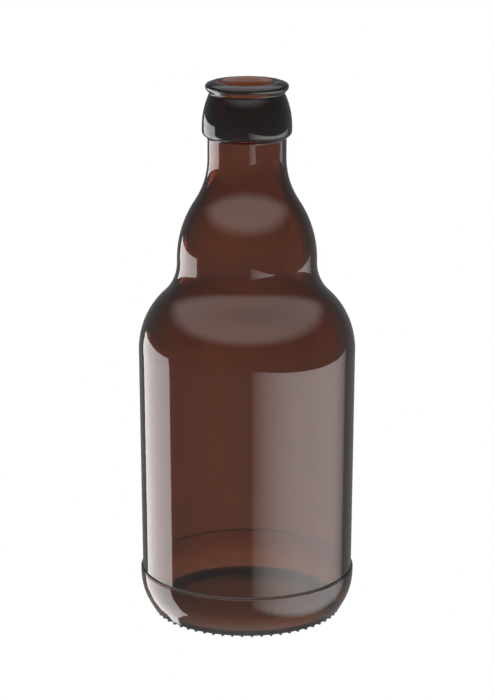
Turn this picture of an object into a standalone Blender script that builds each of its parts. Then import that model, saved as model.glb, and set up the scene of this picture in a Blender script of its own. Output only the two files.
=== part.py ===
"""A 33 cl steinie beer bottle: one piece of amber glass, empty and open at the mouth.

The wall is one turned outline. It starts on the axis at the inside of the base, climbs the
inside, crosses the lip, runs down the outside and ends on the axis under the push-up.
Short radial bars are fused under the base, where a bottle meets the bottle line.
The bottle stands on those bars at z = 0, with its axis on Z.
"""

import bpy
from math import acos, atan2, ceil, cos, pi, radians, sin, tan
from mathutils import Vector

MM = 0.001

# Main sizes
HEIGHT = 175.0 * MM               # floor to the top of the lip
CONTACT_RADIUS = 35.0 * MM        # the two belts where bottles touch: shoulder and heel
NECK_RADIUS = 12.55 * MM
BEARING_HEIGHT = 0.35 * MM        # the base ring above the floor, on its bars

# Base and heel, outside
PUSH_UP_HEIGHT = 3.7 * MM         # the middle of the base above the floor
PUSH_UP_SHOULDER = 16.0 * MM
BEARING_INNER_RADIUS = 26.6 * MM
BEARING_OUTER_RADIUS = 30.7 * MM
HEEL_BEND_RADIUS = 33.0 * MM
HEEL_BEND_HEIGHT = 4.4 * MM
HEEL_HEIGHT = 8.8 * MM
HEEL_BELT_TOP = 14.4 * MM

# Label panel, a hair narrower at its foot than at the shoulder
PANEL_FOOT_RADIUS = 34.4 * MM
PANEL_FOOT_HEIGHT = 15.1 * MM
PANEL_TOP_HEIGHT = 89.7 * MM

# Shoulder, bulb and neck, outside: where the straight runs between the bends would meet
SHOULDER_RADIUS = 33.5 * MM
SHOULDER_HEIGHT = 100.4 * MM
BULB_FOOT_RADIUS = 22.4 * MM
BULB_FOOT_HEIGHT = 110.7 * MM
BULB_TOP_RADIUS = 22.65 * MM
BULB_TOP_HEIGHT = 127.6 * MM
NECK_FOOT_HEIGHT = 143.15 * MM

# Crown finish, outside
COLLAR_FOOT_HEIGHT = 157.0 * MM
COLLAR_RADIUS = 14.33 * MM
COLLAR_BELT_HEIGHT = 158.5 * MM
COLLAR_SLOPE_HEIGHT = 165.85 * MM
WAIST_RADIUS = 12.05 * MM
WAIST_HEIGHT = 171.25 * MM
LIP_RADIUS = 13.25 * MM           # the ring that a 26 mm crown cap grips
LIP_FOOT_HEIGHT = 172.95 * MM
LIP_EDGE_HEIGHT = 174.2 * MM     # the top slopes down a little to the ring
LIP_CREST_RADIUS = 10.9 * MM

# Inside
MOUTH_RADIUS = 8.4 * MM
MOUTH_BORE_FOOT = 162.5 * MM
NECK_BORE_RADIUS = 10.4 * MM
NECK_BORE_TOP = 158.0 * MM
NECK_BORE_FOOT = 141.6 * MM
BULB_BORE_RADIUS = 19.8 * MM
BULB_BORE_TOP = 127.2 * MM
BULB_BORE_FOOT = 109.0 * MM
SHOULDER_BORE_RADIUS = 31.2 * MM
SHOULDER_BORE_HEIGHT = 98.6 * MM
BODY_BORE_TOP_RADIUS = 32.2 * MM
BODY_BORE_TOP = 88.0 * MM
BODY_BORE_FOOT_RADIUS = 31.2 * MM
WELL_RADIUS = 25.2 * MM
WELL_HEIGHT = 4.6 * MM            # the lowest ring of the inside
BODY_BORE_FOOT_HEIGHT = 6.0 * MM
FLOOR_SHOULDER = 13.0 * MM
FLOOR_HEIGHT = 7.6 * MM           # the middle of the inside floor

# Bars under the base
BAR_COUNT = 60
BAR_INNER_RADIUS = 27.0 * MM
BAR_OUTER_RADIUS = 30.8 * MM
BAR_ROOT_WIDTH = 1.3 * MM
BAR_SOLE_WIDTH = 0.5 * MM
BAR_ROOT_HEIGHT = 1.1 * MM        # sunk in the glass of the base ring
BAR_END_LEAN = 0.25 * MM

# Mesh
TURN_SEGMENTS = 60                # a bar sits in the middle of each
BEND_SAG = 0.15 * MM              # the most that a bend's straight steps cut off its arc
BEND_STEP = radians(35.0)         # and the most that one step turns
MERGE_DISTANCE = 0.00001


def rounded_outline(corners):
    """Points along straight runs whose corners, given as (radius, height, bend), are rounded."""
    points = [Vector(corners[0][:2])]
    for before, corner, after in zip(corners, corners[1:], corners[2:]):
        tip = Vector(corner[:2])
        bend = corner[2]
        if bend == 0.0:
            points.append(tip)
            continue
        back = (Vector(before[:2]) - tip).normalized()
        ahead = (Vector(after[:2]) - tip).normalized()
        half_angle = acos(back.dot(ahead)) / 2.0
        start = tip + back * bend / tan(half_angle)
        centre = tip + (back + ahead).normalized() * bend / sin(half_angle)
        first = atan2(start.y - centre.y, start.x - centre.x)
        turn = pi - 2.0 * half_angle
        if back.x * ahead.y - back.y * ahead.x > 0.0:
            turn = -turn
        fine_step = 2.0 * acos(1.0 - min(BEND_SAG / bend, 1.0))
        steps = ceil(abs(turn) / min(fine_step, BEND_STEP))
        for step in range(steps + 1):
            angle = first + turn * step / steps
            points.append(centre + Vector((cos(angle), sin(angle))) * bend)
    points.append(Vector(corners[-1][:2]))
    return points


def bottle_corners():
    """The corners of the whole wall, from the inside floor over the lip to the push-up."""
    inside = [
        (0.0, FLOOR_HEIGHT, 0.0),
        (FLOOR_SHOULDER, FLOOR_HEIGHT, 45.0 * MM),
        (WELL_RADIUS, WELL_HEIGHT, 5.0 * MM),
        (BODY_BORE_FOOT_RADIUS, BODY_BORE_FOOT_HEIGHT, 6.0 * MM),
        (BODY_BORE_TOP_RADIUS, BODY_BORE_TOP, 0.0),
        (SHOULDER_BORE_RADIUS, SHOULDER_BORE_HEIGHT, 20.0 * MM),
        (BULB_BORE_RADIUS, BULB_BORE_FOOT, 16.0 * MM),
        (BULB_BORE_RADIUS, BULB_BORE_TOP, 31.0 * MM),
        (NECK_BORE_RADIUS, NECK_BORE_FOOT, 26.0 * MM),
        (NECK_BORE_RADIUS, NECK_BORE_TOP, 0.0),
        (MOUTH_RADIUS, MOUTH_BORE_FOOT, 0.0),
    ]
    lip = [
        (MOUTH_RADIUS, HEIGHT, 2.3 * MM),
        (LIP_CREST_RADIUS, HEIGHT, 1.0 * MM),
        (LIP_RADIUS, LIP_EDGE_HEIGHT, 1.15 * MM),
        (LIP_RADIUS, LIP_FOOT_HEIGHT, 0.0),
    ]
    outside = [
        (WAIST_RADIUS, WAIST_HEIGHT, 0.6 * MM),
        (COLLAR_RADIUS, COLLAR_SLOPE_HEIGHT, 24.5 * MM),
        (COLLAR_RADIUS, COLLAR_BELT_HEIGHT, 1.9 * MM),
        (NECK_RADIUS, COLLAR_FOOT_HEIGHT, 0.0),
        (NECK_RADIUS, NECK_FOOT_HEIGHT, 25.0 * MM),
        (BULB_TOP_RADIUS, BULB_TOP_HEIGHT, 34.0 * MM),
        (BULB_FOOT_RADIUS, BULB_FOOT_HEIGHT, 14.0 * MM),
        (SHOULDER_RADIUS, SHOULDER_HEIGHT, 24.0 * MM),
        (CONTACT_RADIUS, PANEL_TOP_HEIGHT, 15.0 * MM),
        (PANEL_FOOT_RADIUS, PANEL_FOOT_HEIGHT, 0.0),
        (CONTACT_RADIUS, HEEL_BELT_TOP, 0.0),
        (CONTACT_RADIUS, HEEL_HEIGHT, 19.0 * MM),
        (HEEL_BEND_RADIUS, HEEL_BEND_HEIGHT, 10.0 * MM),
        (BEARING_OUTER_RADIUS, BEARING_HEIGHT, 2.5 * MM),
        (BEARING_INNER_RADIUS, BEARING_HEIGHT, 0.0),
        (PUSH_UP_SHOULDER, PUSH_UP_HEIGHT, 50.0 * MM),
        (0.0, PUSH_UP_HEIGHT, 0.0),
    ]
    return inside + lip + outside


def amber_glass():
    """The brown glass of the bottle."""
    material = bpy.data.materials.new("amber_glass")
    material.use_nodes = True
    shader = material.node_tree.nodes["Principled BSDF"]
    shader.inputs["Base Color"].default_value = (0.25, 0.10, 0.04, 1.0)
    shader.inputs["Roughness"].default_value = 0.03
    shader.inputs["Metallic"].default_value = 0.0
    shader.inputs["Transmission Weight"].default_value = 0.9
    shader.inputs["IOR"].default_value = 1.52
    return material


def turned_bottle(collection, material):
    """The glass wall: the outline turned once round Z."""
    points = rounded_outline(bottle_corners())
    mesh = bpy.data.meshes.new("bottle")
    edges = [(index, index + 1) for index in range(len(points) - 1)]
    mesh.from_pydata([(point.x, 0.0, point.y) for point in points], edges, [])
    mesh.materials.append(material)
    bottle = bpy.data.objects.new("bottle", mesh)
    collection.objects.link(bottle)
    screw = bottle.modifiers.new("turn", "SCREW")
    screw.steps = TURN_SEGMENTS
    screw.render_steps = TURN_SEGMENTS
    screw.use_merge_vertices = True
    screw.merge_threshold = MERGE_DISTANCE
    return bottle


def bar_mesh(material):
    """One bar along +X: a bar with leaning sides and ends, narrowest at its sole."""
    length = BAR_OUTER_RADIUS - BAR_INNER_RADIUS
    bpy.ops.mesh.primitive_cube_add(size=1.0)
    block = bpy.context.object
    mesh = block.data
    for vertex in mesh.vertices:
        on_sole = vertex.co.z < 0.0
        width = BAR_SOLE_WIDTH if on_sole else BAR_ROOT_WIDTH
        reach = length if on_sole else length + 2.0 * BAR_END_LEAN
        vertex.co.x = BAR_INNER_RADIUS + length / 2.0 + vertex.co.x * reach
        vertex.co.y *= width
        vertex.co.z = 0.0 if on_sole else BAR_ROOT_HEIGHT
    mesh.name = "bar"
    mesh.materials.append(material)
    bpy.data.objects.remove(block)
    return mesh


def bars_under_base(collection, material):
    """The ring of radial bars, evenly spaced."""
    mesh = bar_mesh(material)
    for index in range(BAR_COUNT):
        bar = bpy.data.objects.new(f"bar_{index:02d}", mesh)
        bar.rotation_euler.z = 2.0 * pi * (index + 0.5) / BAR_COUNT
        collection.objects.link(bar)


def apply_modifiers(piece):
    """Keep what the modifiers make of a piece as its mesh."""
    evaluated = piece.evaluated_get(bpy.context.evaluated_depsgraph_get())
    mesh = bpy.data.meshes.new_from_object(evaluated)
    piece.modifiers.clear()
    piece.data = mesh


def main():
    for item in list(bpy.data.objects):
        bpy.data.objects.remove(item)
    bottle_parts = bpy.data.collections.new("steinie_bottle")
    bar_parts = bpy.data.collections.new("base_bars")
    for collection in (bottle_parts, bar_parts):
        bpy.context.scene.collection.children.link(collection)

    glass = amber_glass()
    bottle = turned_bottle(bottle_parts, glass)
    bars_under_base(bar_parts, glass)
    fuse = bottle.modifiers.new("fuse_bars", "BOOLEAN")
    fuse.operation = "UNION"
    fuse.operand_type = "COLLECTION"
    fuse.collection = bar_parts
    fuse.solver = "EXACT"
    apply_modifiers(bottle)
    for bar in list(bar_parts.objects):
        bpy.data.objects.remove(bar)
    bottle.data.shade_smooth()
    bottle.data.set_sharp_from_angle(angle=radians(35.0))


main()
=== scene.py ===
# %% [markdown]
# # A steinie beer bottle in amber glass
#
# A steinie is the short, stout beer bottle. It is pressed and blown from one gob of hot glass, so the
# whole bottle is one piece, with a wall that is nowhere quite the same thickness. What the eye knows
# it by is not its colour alone: clear glass shows its own wall as a dark line along each edge, it
# mirrors the lamps round it, and it lets the light behind it through. So this lesson makes the glass
# as a real closed wall, inside and outside, and then puts it into a studio that such glass can mirror.
#
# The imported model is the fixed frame. It gives the box that the bottle has to stay inside.

# %% The frame
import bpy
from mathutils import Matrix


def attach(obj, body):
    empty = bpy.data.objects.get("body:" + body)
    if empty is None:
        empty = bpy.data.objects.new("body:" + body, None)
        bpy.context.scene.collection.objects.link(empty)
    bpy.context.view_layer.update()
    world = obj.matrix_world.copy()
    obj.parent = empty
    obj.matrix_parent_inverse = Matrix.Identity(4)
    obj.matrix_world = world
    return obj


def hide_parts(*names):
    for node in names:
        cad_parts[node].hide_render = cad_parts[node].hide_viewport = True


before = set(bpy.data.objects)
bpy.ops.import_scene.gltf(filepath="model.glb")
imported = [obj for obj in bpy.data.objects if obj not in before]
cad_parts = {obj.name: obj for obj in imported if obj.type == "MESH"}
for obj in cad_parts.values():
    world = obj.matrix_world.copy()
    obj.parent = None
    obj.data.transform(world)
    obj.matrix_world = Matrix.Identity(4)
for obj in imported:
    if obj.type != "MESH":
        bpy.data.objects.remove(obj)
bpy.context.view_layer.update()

# %% Blender and numpy
from math import acos, atan2, ceil, cos, pi, radians, sin, tan

import bpy
import numpy as np

MM = 0.001
scene = bpy.context.scene

# %% [markdown]
# ## The outline
#
# Glassmakers draw a bottle as half of its section: a line that starts in the middle of the floor,
# climbs the inside to the mouth, rolls over the lip, and comes down the outside to the middle of the
# base. The drawing is a list of corners, and each corner has the radius of the bend that rounds it.
# That is how a mould is cut too, so a few dozen numbers hold the whole shape.

# %% Outside, from the lip down to the base, as radius, height and bend in millimetres
CONTACT_RADIUS = 35.0
NECK_RADIUS = 12.55
BEARING_HEIGHT = 0.35
outside_corners = [
    # The waist under the lip, and the collar.
    (12.05, 171.45, 0.4),
    (12.05, 171.1, 0.8),
    (14.33, 165.85, 25.0),
    (14.33, 158.5, 1.9),
    # The neck and the bulb.
    (NECK_RADIUS, 157.0, 0.2),
    (NECK_RADIUS, 143.15, 25.0),
    (22.65, 127.6, 34.0),
    (22.4, 110.7, 14.0),
    # The shoulder. From its second corner the body runs straight down, a little inwards.
    (33.5, 100.4, 24.0),
    (CONTACT_RADIUS, 89.7, 15.0),
    # The step over the heel, and the heel.
    (34.4, 15.2, 0.03),
    (34.82, 14.8, 0.03),
    (34.84, 14.55, 0.03),
    (CONTACT_RADIUS, 14.35, 0.05),
    (CONTACT_RADIUS, 8.8, 19.0),
    (33.0, 4.4, 10.0),
    # The bearing ring, and the push-up inside it.
    (30.7, BEARING_HEIGHT, 2.5),
    (26.6, BEARING_HEIGHT, 3.0),
    (16.0, 3.7, 50.0),
    (0.0, 3.7, 0.0),
]
print("corners outside:", len(outside_corners))

# %% Inside, from the middle of the floor up to the mouth
MOUTH_RADIUS = 7.8
BOTTLE_HEIGHT = 175.0
inside_corners = [
    # The floor, and the well round it.
    (0.0, 4.9, 0.0),
    (16.0, 4.9, 45.0),
    (26.2, 1.6, 3.0),
    (30.4, 1.6, 2.5),
    # The body and the shoulder.
    (31.7, 7.0, 8.0),
    (32.2, 88.0, 20.0),
    (31.2, 98.6, 20.0),
    # The bulb and the neck.
    (19.8, 109.0, 16.0),
    (19.8, 127.2, 31.0),
    (10.4, 141.6, 26.0),
    (10.4, 158.0, 5.0),
    # The narrow bore behind the collar.
    (MOUTH_RADIUS, 162.5, 8.0),
]
lip_corners = [
    (MOUTH_RADIUS, BOTTLE_HEIGHT, 2.2),
    (10.9, BOTTLE_HEIGHT, 1.0),
    (13.25, 174.2, 1.15),
    (13.25, 172.85, 1.1),
]
bottle_corners = inside_corners + lip_corners + outside_corners
print("corners in all:", len(bottle_corners))

# %% [markdown]
# A bend is an arc that touches both of the runs that meet at its corner. Its middle lies on the line
# that halves the angle there. A wide bend needs more points than a small one to look round, so the
# number comes from how far a straight piece of the arc may lie from the true arc. A long straight run
# gets one more point close to each end: Blender blends the shading between neighbouring points, and
# without these the bend's shading would creep along the whole wall.

# %% Rounding the corners
BEND_SAG = 0.014
BASE_SAG = 0.003
BASE_HEIGHT = 5.0
BEND_STEP = radians(15.0)
LONG_RUN = 3.2
RUN_END = 0.25


def unit(vector):
    """The vector divided by its own length."""
    return vector / np.linalg.norm(vector)


def rounded_outline(corners):
    """Radius and height of the outline's points in mm. Each corner with a bend becomes an arc of that
    radius that touches both runs. The arc's centre is bend / sin(half the angle) from the corner, and
    the arc starts bend / tan(half the angle) before it."""
    pieces = [np.array([corners[0][:2]])]
    for before, corner, after in zip(corners, corners[1:], corners[2:]):
        tip = np.array(corner[:2])
        bend = corner[2]
        if bend == 0.0:
            pieces.append(tip[None])
            continue
        back = unit(np.array(before[:2]) - tip)
        ahead = unit(np.array(after[:2]) - tip)
        half_angle = acos(back @ ahead) / 2.0
        start = tip + back * bend / tan(half_angle)
        centre = tip + unit(back + ahead) * bend / sin(half_angle)
        turn = pi - 2.0 * half_angle
        if back[0] * ahead[1] - back[1] * ahead[0] > 0.0:
            turn = -turn
        sag = BASE_SAG if corner[1] < BASE_HEIGHT else BEND_SAG
        fine_step = 2.0 * acos(1.0 - min(sag / bend, 1.0))
        steps = ceil(abs(turn) / min(fine_step, BEND_STEP))
        angles = atan2(*(start - centre)[::-1]) + np.linspace(0.0, turn, steps + 1)
        pieces.append(centre + bend * np.stack([np.cos(angles), np.sin(angles)], axis=1))
    pieces.append(np.array([corners[-1][:2]]))
    points = np.concatenate(pieces)
    runs = np.diff(points, axis=0)
    lengths = np.linalg.norm(runs, axis=1)
    is_long = lengths > LONG_RUN
    inward = runs[is_long] / lengths[is_long, None] * RUN_END
    near_ends = np.stack([points[:-1][is_long] + inward, points[1:][is_long] - inward], axis=1)
    places = np.repeat(np.flatnonzero(is_long) + 1, 2)
    return np.insert(points, places, near_ends.reshape(-1, 2), axis=0)


outline = rounded_outline(bottle_corners)
step_lengths = np.linalg.norm(np.diff(outline, axis=0), axis=1)
print("outline points:", len(outline), "shortest step", round(float(step_lengths.min()), 3), "mm")

# %% [markdown]
# ## The bars under the base
#
# A bottle doesn't stand on smooth glass. The baffle mould presses a ring of short bars into the
# bearing surface, so that hot glass touches the conveyor at a few small places and doesn't crack. Here
# are sixty of them, like the teeth of a coin's edge. They could be separate pieces sunk into the base,
# but glass inside glass would show through, so they are pressed into the same surface.

# %% Where the bars are
BAR_COUNT = 60
BAR_HEIGHT = 0.6
BAR_HALF_WIDTH = 0.5
BAR_INNER_RADIUS = 26.0
BAR_OUTER_HEIGHT = 1.05
BAR_END = 0.5
# The grid's columns for one bar, in degrees from its crest.
BAR_COLUMNS = np.array([-3.0, -0.95, -0.5, 0.0, 0.5, 0.95])


def smooth_step(value):
    """0 below 0, 1 above 1, and 3 t squared - 2 t cubed between."""
    t = np.clip(value, 0.0, 1.0)
    return t * t * (3.0 - 2.0 * t)


def bar_rise(radius, height, turn):
    """How far a point under the base stands out, in mm: the bars' height x (1 - the distance from the
    nearest crest / half a bar's width, not below 0) x a smooth step at each end of the bar."""
    pitch = 2.0 * pi / BAR_COUNT
    across = np.abs((turn / pitch) % 1.0 - 0.5) * pitch * radius
    crest = np.clip(1.0 - across / BAR_HALF_WIDTH, 0.0, 1.0)
    inner_end = smooth_step((radius - BAR_INNER_RADIUS) / BAR_END)
    outer_end = smooth_step((BAR_OUTER_HEIGHT - height) / BAR_END)
    return BAR_HEIGHT * crest * (inner_end * outer_end)


pitch_degrees = 360.0 / BAR_COUNT
column_turns = np.radians((np.arange(BAR_COUNT)[:, None] + 0.5) * pitch_degrees + BAR_COLUMNS).ravel()
print("columns round the bottle:", len(column_turns))

# %% [markdown]
# The flat bearing ring is a straight run in the outline, with few points inside it, so the bars would
# have nothing to bend. A few more points go in there.

# %% More points across the bearing ring
RING_RADII = np.array([28.8, 28.4, 28.0])
OUTSIDE_THEM = 28.9
NEARLY_FLAT = 0.01
on_ring = (outline[:, 1] < BEARING_HEIGHT + NEARLY_FLAT) & (outline[:, 0] > OUTSIDE_THEM)
last_before = int(np.flatnonzero(on_ring)[-1])
ring_points = np.stack([RING_RADII, np.full(len(RING_RADII), BEARING_HEIGHT)], axis=1)
outline = np.insert(outline, last_before + 1, ring_points, axis=0)
print("across the bearing ring:", outline[last_before:last_before + 5].round(2).tolist())

# %% [markdown]
# ## Turning the outline
#
# The glass is a grid: one row for each point of the outline and one column for each turn angle. Where
# a bar is, the surface is pushed out. The two ends of the outline lie on the axis, so each is one point
# with a fan of triangles round it, and the surface is closed.

# %% The grid of points
def turned_points(outline, turns):
    """x = radius sin(turn), y = -radius cos(turn), z = height, in metres, as a grid of outline points by
    turns. Where a bar rises, radius and height first move by that much along the outline's outward
    normal, but not below the table at height 0."""
    radius, height = outline[:, 0, None], outline[:, 1, None]
    run = np.gradient(outline, axis=0)
    normal = np.stack([-run[:, 1], run[:, 0]], axis=1) / np.linalg.norm(run, axis=1)[:, None]
    is_outside = np.arange(len(outline))[:, None] > len(outline) // 2
    rise = np.where(is_outside, bar_rise(radius, height, turns), 0.0)
    radius = radius + normal[:, 0, None] * rise
    height = np.maximum(height + normal[:, 1, None] * rise, 0.0)
    return np.stack([radius * np.sin(turns), -radius * np.cos(turns), height], axis=2) * MM


def turned_faces(rows, columns):
    """Quads between neighbouring rows, wound so that they face out of the glass, and a fan of triangles
    to the first point and to the last."""
    corner = 1 + np.arange(rows * columns).reshape(rows, columns)
    beside = np.roll(corner, -1, axis=1)
    quads = np.stack([corner[:-1], corner[1:], beside[1:], beside[:-1]], axis=-1).reshape(-1, 4)
    first, last = np.zeros(columns, int), np.full(columns, rows * columns + 1)
    first_fan = np.stack([first, corner[0], beside[0]], axis=1)
    last_fan = np.stack([corner[-1], last, beside[-1]], axis=1)
    return quads.tolist() + first_fan.tolist() + last_fan.tolist()


rings = turned_points(outline[1:-1], column_turns)
first_point = [[0.0, 0.0, outline[0, 1] * MM]]
last_point = [[0.0, 0.0, outline[-1, 1] * MM]]
points = np.concatenate([first_point, rings.reshape(-1, 3), last_point])
faces = turned_faces(*rings.shape[:2])
print("points:", len(points), "triangles:", sum(len(face) - 2 for face in faces))

# %% The bottle
bottle_mesh = bpy.data.meshes.new("glass_bottle")
bottle_mesh.from_pydata(points.tolist(), [], faces)
bottle_mesh.shade_smooth()
bottle = bpy.data.objects.new("glass_bottle", bottle_mesh)
scene.collection.objects.link(bottle)
bottle_size = [round(side * 1000.0, 2) for side in bottle.dimensions]
print("valid:", not bottle_mesh.validate(), "size in mm:", bottle_size)

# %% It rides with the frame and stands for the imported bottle
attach(bottle, "root")
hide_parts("bottle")

# %% [markdown]
# ## Amber glass
#
# Amber is soda-lime glass with a little iron, sulphur and carbon in it. It is coloured all through, so
# a thick place, such as the ring under the lip, looks nearly black, and a thin wall lets warm brown
# light through. Volume Absorption does that: light loses the same share in each millimetre.

# %% Colours and nodes
def linear_colour(hex_code):
    """An sRGB colour such as #5c3a21 as linear red, green and blue and an alpha of 1.
    Each part c becomes c / 12.92 up to 0.04045, and ((c + 0.055) / 1.055) to the power 2.4 above."""
    parts = np.array([int(hex_code[start:start + 2], 16) for start in (1, 3, 5)]) / 255.0
    parts = np.where(parts <= 0.04045, parts / 12.92, ((parts + 0.055) / 1.055) ** 2.4)
    return (*parts.tolist(), 1.0)


def add_node(tree, kind, inputs=(), **settings):
    """One node of that kind, with its settings. The inputs are a list in the node's own order, or go by
    name. An input is a number or a colour, an output to link, or a node whose first output in use is
    linked."""
    node = tree.nodes.new(kind)
    for name, value in settings.items():
        setattr(node, name, value)
    for name, given in inputs.items() if isinstance(inputs, dict) else enumerate(inputs):
        if isinstance(given, bpy.types.Node):
            given = next(output for output in given.outputs if output.enabled)
        if isinstance(given, bpy.types.NodeSocket):
            tree.links.new(given, node.inputs[name])
        else:
            node.inputs[name].default_value = given
    return node


amber_glass = bpy.data.materials.new("amber_soda_lime_glass")
amber_glass.use_nodes = True
glass = amber_glass.node_tree
glass.nodes.clear()
glass_place = add_node(glass, "ShaderNodeTexCoord").outputs["Object"]
height = add_node(glass, "ShaderNodeSeparateXYZ", [glass_place]).outputs["Z"]
print("a middle brown in linear parts:", np.round(linear_colour("#5c3a21"), 3).tolist())

# %% [markdown]
# The wall's thickness is partly a guess, so the brown that it gives is a little off in places. A colour
# ramp over the height evens that out. Its shades were matched. They are pale, because they only
# add to what the thickness takes.

# %% The shade by height, as millimetres up the bottle
shades = {
    0.0: "#beb7b5",
    1.75: "#c8c3c3",
    5.6: "#f3ecdd",
    7.9: "#f7f1e5",
    17.5: "#e6eaef",
    105.0: "#e6eaef",
    133.0: "#e8edee",
    145.25: "#d4c5b3",
    156.8: "#d4c5b3",
    158.2: "#c3c0c2",
    170.0: "#c3c0c2",
    173.0: "#e1ded5",
}
share_of_height = add_node(glass, "ShaderNodeMapRange", {"Value": height, "From Max": BOTTLE_HEIGHT * MM})
glass_shade = add_node(glass, "ShaderNodeValToRGB", [share_of_height])
ramp = glass_shade.color_ramp.elements
while len(ramp) < len(shades):
    ramp.new(0.5)
for stop, (stop_height, shade) in zip(ramp, shades.items()):
    stop.position = stop_height / BOTTLE_HEIGHT
    stop.color = linear_colour(shade)
print("shades:", len(ramp))

# %% [markdown]
# Three places get painted shade, matched as well: the push-up in the middle of the base, a little
# darker; the bearing bead round it, nearly black, a painted contact shadow where the bottle stands on
# the table; and the step above the heel. The step's two bevels are so narrow that the thin dark line
# they make is easily lost, and the painted shade brings it out. Each place is bounded by limits of
# distance from the axis or of height, and fades in from the first number to the second.

# %% Painted shade on the push-up, the bead and the step
flat_place = add_node(glass, "ShaderNodeVectorMath", [glass_place, (1.0, 1.0, 0.0)], operation="MULTIPLY")
from_axis = add_node(glass, "ShaderNodeVectorMath", [flat_place], operation="LENGTH").outputs["Value"]
# Each place mixes a darker colour into the glass: painted shade, not a colour the glass has.
painted_shade_places = {
    "push-up": ("#aaa4a2", [(from_axis, 27.0, 26.0), (height, 5.4, 5.1)]),
    "bead": ("#272727", [(from_axis, 25.6, 26.2), (height, 2.3, 2.0)]),
    "step": ("#383535", [(from_axis, 33.5, 34.0), (height, 14.7, 14.8), (height, 15.3, 15.2)]),
}
for shade, limits in painted_shade_places.values():
    inside = 1.0
    for measure, start, full in limits:
        fade = {"Value": measure, "From Min": start * MM, "From Max": full * MM}
        fade = add_node(glass, "ShaderNodeMapRange", fade)
        inside = add_node(glass, "ShaderNodeMath", [fade, inside], operation="MULTIPLY")
    # Inputs 6 and 7 are the Mix node's two colours.
    colours = {"Factor": inside, 6: glass_shade, 7: linear_colour(shade)}
    glass_shade = add_node(glass, "ShaderNodeMix", colours, data_type="RGBA")
print("places with a shade of their own:", list(painted_shade_places))

# %% [markdown]
# The surface is as clear and as smooth as it left the fire, except on the soles of the bars. Every table
# and conveyor has scuffed those dull, in specks the size of grit, so only there the roughness rises.

# %% Scuffed soles
GRIT_PER_METRE = 4000.0
SOLE_TOP = 0.12
SOLE_FULL = 0.02
grit = {"Vector": glass_place, "Scale": GRIT_PER_METRE, "Detail": 3.0}
grit = add_node(glass, "ShaderNodeTexNoise", grit)
dullness = {"Value": grit, "From Min": 0.35, "From Max": 0.65, "To Min": 0.15, "To Max": 0.5}
dullness = add_node(glass, "ShaderNodeMapRange", dullness)
on_sole = {"Value": height, "From Min": SOLE_TOP * MM, "From Max": SOLE_FULL * MM}
on_sole = add_node(glass, "ShaderNodeMapRange", on_sole)
scuffs = add_node(glass, "ShaderNodeMath", [on_sole, dullness], operation="MULTIPLY")
print("specks of", 1000.0 / GRIT_PER_METRE, "mm up to", SOLE_TOP, "mm above the table")

# %% [markdown]
# The IOR is the usual 1.52. Specular Tint makes the glass mirror twice what real glass does when seen
# face on, and the softboxes are about half as bright as they would have to be otherwise.

# %% The glass
AMBER = linear_colour("#d4aa7c")
absorption = {"Color": AMBER, "Density": 1.0 / MM}
glass_inside = add_node(glass, "ShaderNodeVolumeAbsorption", absorption)
glass_surface = add_node(glass, "ShaderNodeBsdfPrincipled", {
    "Base Color": glass_shade,
    "Roughness": scuffs,
    "IOR": 1.52,
    "Specular Tint": (2.0, 2.0, 2.0, 1.0),
    "Transmission Weight": 1.0,
})
add_node(glass, "ShaderNodeOutputMaterial", {"Surface": glass_surface, "Volume": glass_inside})
bottle_mesh.materials.append(amber_glass)
one_millimetre = np.exp(np.array(AMBER[:3]) - 1.0)
print("one millimetre lets through", one_millimetre.round(2).tolist(), "of red, green and blue")

# %% [markdown]
# ## The studio
#
# Polished glass shows little but its surroundings, so the surroundings are part of the picture. Bottles
# are often shot against a bright white field, with a softbox on each side and one overhead. Lamps could
# do this, but soft edges are easier to control when the softboxes are painted on the sky: the world
# shader works out how bright each direction is. What is seen straight or through the glass is the white
# field, and what is mirrored is the dim room with its softboxes. The Light Path node tells the two
# apart, by how often the light was mirrored on its way.
#
# Directions are turned into two angles first. Azimuth is 0 towards the viewer and 90 to the viewer's
# right, and elevation is 90 straight up.

# %% The two angles
world = bpy.data.worlds.new("bottle_studio")
scene.world = world
world.use_nodes = True
sky = world.node_tree
sky.nodes.clear()
direction = add_node(sky, "ShaderNodeTexCoord").outputs["Generated"]
toward = add_node(sky, "ShaderNodeSeparateXYZ", [direction]).outputs
nearer = add_node(sky, "ShaderNodeMath", [toward["Y"], -1.0], operation="MULTIPLY")
azimuth = add_node(sky, "ShaderNodeMath", [toward["X"], nearer], operation="ARCTAN2")
azimuth = add_node(sky, "ShaderNodeMath", [azimuth], operation="DEGREES")
elevation = add_node(sky, "ShaderNodeMath", [toward["Z"]], operation="ARCSINE")
elevation = add_node(sky, "ShaderNodeMath", [elevation], operation="DEGREES")
print("sky nodes:", len(sky.nodes))

# %% [markdown]
# The left softbox is a flat wall of light with sharp edges, standing to the left of the bottle. On a
# flat wall, a place is a share of the distance: how far along and how far up, each divided by how far
# to the left. The wall is a little brighter towards its far end. Each edge fades in from the first of
# its two places to the second.

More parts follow.
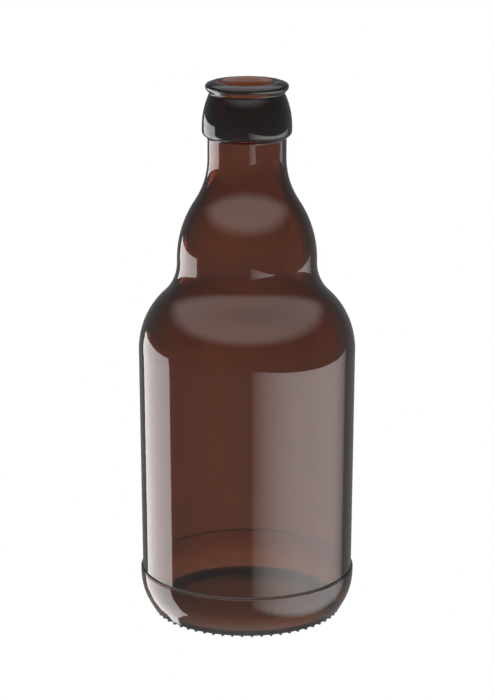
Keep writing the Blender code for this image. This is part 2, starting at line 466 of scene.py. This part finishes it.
# %% The left softbox
NEARLY_NOTHING = 0.001
to_left = add_node(sky, "ShaderNodeMath", [toward["X"], -1.0], operation="MULTIPLY")
to_left = add_node(sky, "ShaderNodeMath", [to_left, NEARLY_NOTHING], operation="MAXIMUM")
left_along = add_node(sky, "ShaderNodeMath", [toward["Y"], to_left], operation="DIVIDE")
left_up = add_node(sky, "ShaderNodeMath", [toward["Z"], to_left], operation="DIVIDE")
left_level = {"Value": left_along, "From Min": 0.0, "From Max": 1.33, "To Min": 2.32, "To Max": 2.92}
left_box = add_node(sky, "ShaderNodeMapRange", left_level)
left_edges = {
    "near end": (left_along, -0.01, 0.01),
    "far end": (left_along, 1.34, 1.31),
    "top": (left_up, -0.07, -0.09),
    "foot": (elevation, -49.5, -48.5),
}
for measure, dark, lit in left_edges.values():
    fade = {"Value": measure, "From Min": dark, "From Max": lit}
    fade = add_node(sky, "ShaderNodeMapRange", fade, interpolation_type="SMOOTHSTEP")
    left_box = add_node(sky, "ShaderNodeMath", [left_box, fade], operation="MULTIPLY")
print("left softbox:", list(left_edges))

# %% [markdown]
# The right softbox is a wide curved screen. It swells like a sine from one end to the other, and is
# brighter towards its far end. Its top edge is straight and sharp, so it is measured on a flat plane as
# well, one that faces 68 degrees to the right, and its foot fades away slowly.

# %% The right softbox
RIGHT_FACING = radians(68.0)
SWELL_POWER = 0.76
facing = (sin(RIGHT_FACING), -cos(RIGHT_FACING), 0.0)
to_right = add_node(sky, "ShaderNodeVectorMath", [direction, facing], operation="DOT_PRODUCT")
to_right = to_right.outputs["Value"]
to_right = add_node(sky, "ShaderNodeMath", [to_right, NEARLY_NOTHING], operation="MAXIMUM")
right_up = add_node(sky, "ShaderNodeMath", [toward["Z"], to_right], operation="DIVIDE")
half_turn = {"Value": azimuth, "From Min": 4.0, "From Max": 130.0, "To Min": 0.0, "To Max": pi}
half_turn = add_node(sky, "ShaderNodeMapRange", half_turn)
swell = add_node(sky, "ShaderNodeMath", [half_turn], operation="SINE")
swell = add_node(sky, "ShaderNodeMath", [swell, 0.0], operation="MAXIMUM")
swell = add_node(sky, "ShaderNodeMath", [swell, SWELL_POWER], operation="POWER")
right_level = {"Value": azimuth, "From Min": 80.0, "From Max": 130.0, "To Min": 1.72, "To Max": 2.5}
right_level = add_node(sky, "ShaderNodeMapRange", right_level)
right_box = add_node(sky, "ShaderNodeMath", [swell, right_level], operation="MULTIPLY")
right_edges = {"top": (right_up, -0.245, -0.265), "foot": (right_up, -1.4, -0.75)}
for measure, dark, lit in right_edges.values():
    fade = {"Value": measure, "From Min": dark, "From Max": lit}
    fade = add_node(sky, "ShaderNodeMapRange", fade, interpolation_type="SMOOTHSTEP")
    right_box = add_node(sky, "ShaderNodeMath", [right_box, fade], operation="MULTIPLY")
print("right softbox:", list(right_edges), "and two soft ends")

# %% [markdown]
# The softbox overhead is a soft dome that starts a third of the way up. Round all three the room is
# dim: brighter low down, a little brighter at the back, and with a glow from the table straight below.

# %% The softbox overhead, the room and the table
dome_edge = {"Value": elevation, "From Min": 23.5, "From Max": 41.5}
dome_edge = add_node(sky, "ShaderNodeMapRange", dome_edge, interpolation_type="SMOOTHSTEP")
dome_level = {"Value": elevation, "From Min": 50.0, "From Max": 78.0, "To Min": 0.74, "To Max": 0.665}
dome_level = add_node(sky, "ShaderNodeMapRange", dome_level, interpolation_type="SMOOTHSTEP")
dome = add_node(sky, "ShaderNodeMath", [dome_edge, dome_level], operation="MULTIPLY")
room_by_height = {"Value": elevation, "From Min": -90.0, "From Max": 65.7, "To Min": 0.645, "To Max": 0.1}
room_by_height = add_node(sky, "ShaderNodeMapRange", room_by_height)
room_by_depth = {"Value": toward["Y"], "From Min": -1.0, "From Max": 1.0, "To Min": 0.5, "To Max": 0.6}
room_by_depth = add_node(sky, "ShaderNodeMapRange", room_by_depth)
room = add_node(sky, "ShaderNodeMath", [room_by_height, room_by_depth], operation="MULTIPLY")
table = {"Value": elevation, "From Min": -55.0, "From Max": -75.0, "To Min": 0.0, "To Max": 0.15}
table = add_node(sky, "ShaderNodeMapRange", table, interpolation_type="SMOOTHSTEP")
mirrored = room
lights = {"table": table, "left": left_box, "right": right_box, "overhead": dome}
for light in lights.values():
    mirrored = add_node(sky, "ShaderNodeMath", [mirrored, light], operation="ADD")
print("lights in the room:", list(lights))

# %% The white field for all other light
times_mirrored = add_node(sky, "ShaderNodeLightPath").outputs["Glossy Depth"]
was_mirrored = add_node(sky, "ShaderNodeMath", [times_mirrored, 0.5], operation="GREATER_THAN")
white_or_mirrored = {"Factor": was_mirrored, "A": 1.0, "B": mirrored}
brightness = add_node(sky, "ShaderNodeMix", white_or_mirrored, data_type="FLOAT")
WHITE = linear_colour("#ffffff")
background = add_node(sky, "ShaderNodeBackground", {"Color": WHITE, "Strength": brightness})
add_node(sky, "ShaderNodeOutputWorld", {"Surface": background})
print("studio:", len(sky.nodes), "nodes")

# %% [markdown]
# ## The floor
#
# The floor is plain white and as bright as the field behind it, so no line shows where one ends. It
# lets mirrored light through, so that the softboxes reach down past the bottle, as they do when it
# stands on a small glass table.

# %% The floor
FLOOR_HALF = 1.5
floor_corners = [(x * FLOOR_HALF, y * FLOOR_HALF, 0.0) for x, y in ((-1, -1), (1, -1), (1, 1), (-1, 1))]
floor_mesh = bpy.data.meshes.new("studio_floor")
floor_mesh.from_pydata(floor_corners, [], [(0, 1, 2, 3)])
floor = bpy.data.objects.new("studio_floor", floor_mesh)
scene.collection.objects.link(floor)
floor_paint = bpy.data.materials.new("white_floor")
floor_paint.use_nodes = True
floor_nodes = floor_paint.node_tree
floor_nodes.nodes.clear()
floor_white = add_node(floor_nodes, "ShaderNodeEmission", {"Color": WHITE, "Strength": 1.0})
floor_open = add_node(floor_nodes, "ShaderNodeBsdfTransparent")
times_mirrored = add_node(floor_nodes, "ShaderNodeLightPath").outputs["Glossy Depth"]
floor_mix = add_node(floor_nodes, "ShaderNodeMixShader", [times_mirrored, floor_white, floor_open])
add_node(floor_nodes, "ShaderNodeOutputMaterial", {"Surface": floor_mix})
floor_mesh.materials.append(floor_paint)
print("floor", 2.0 * FLOOR_HALF, "m square")

# %% [markdown]
# ## The camera
#
# The camera is a long lens at arm's length, a little above the bottle and tipped down by 15 degrees,
# so the mouth and the bars under the base both show.

# %% The camera
camera_data = bpy.data.cameras.new("camera")
camera_data.sensor_fit = "AUTO"
camera_data.sensor_width = 36.0
camera_data.lens = 126.0
camera = bpy.data.objects.new("camera", camera_data)
camera.location = (0.0, -0.766, 0.29264)
camera.rotation_euler = (radians(75.005), 0.0, 0.0)
scene.collection.objects.link(camera)
scene.camera = camera
scene.view_settings.view_transform = "Standard"
print("camera", [round(value, 3) for value in camera.location])
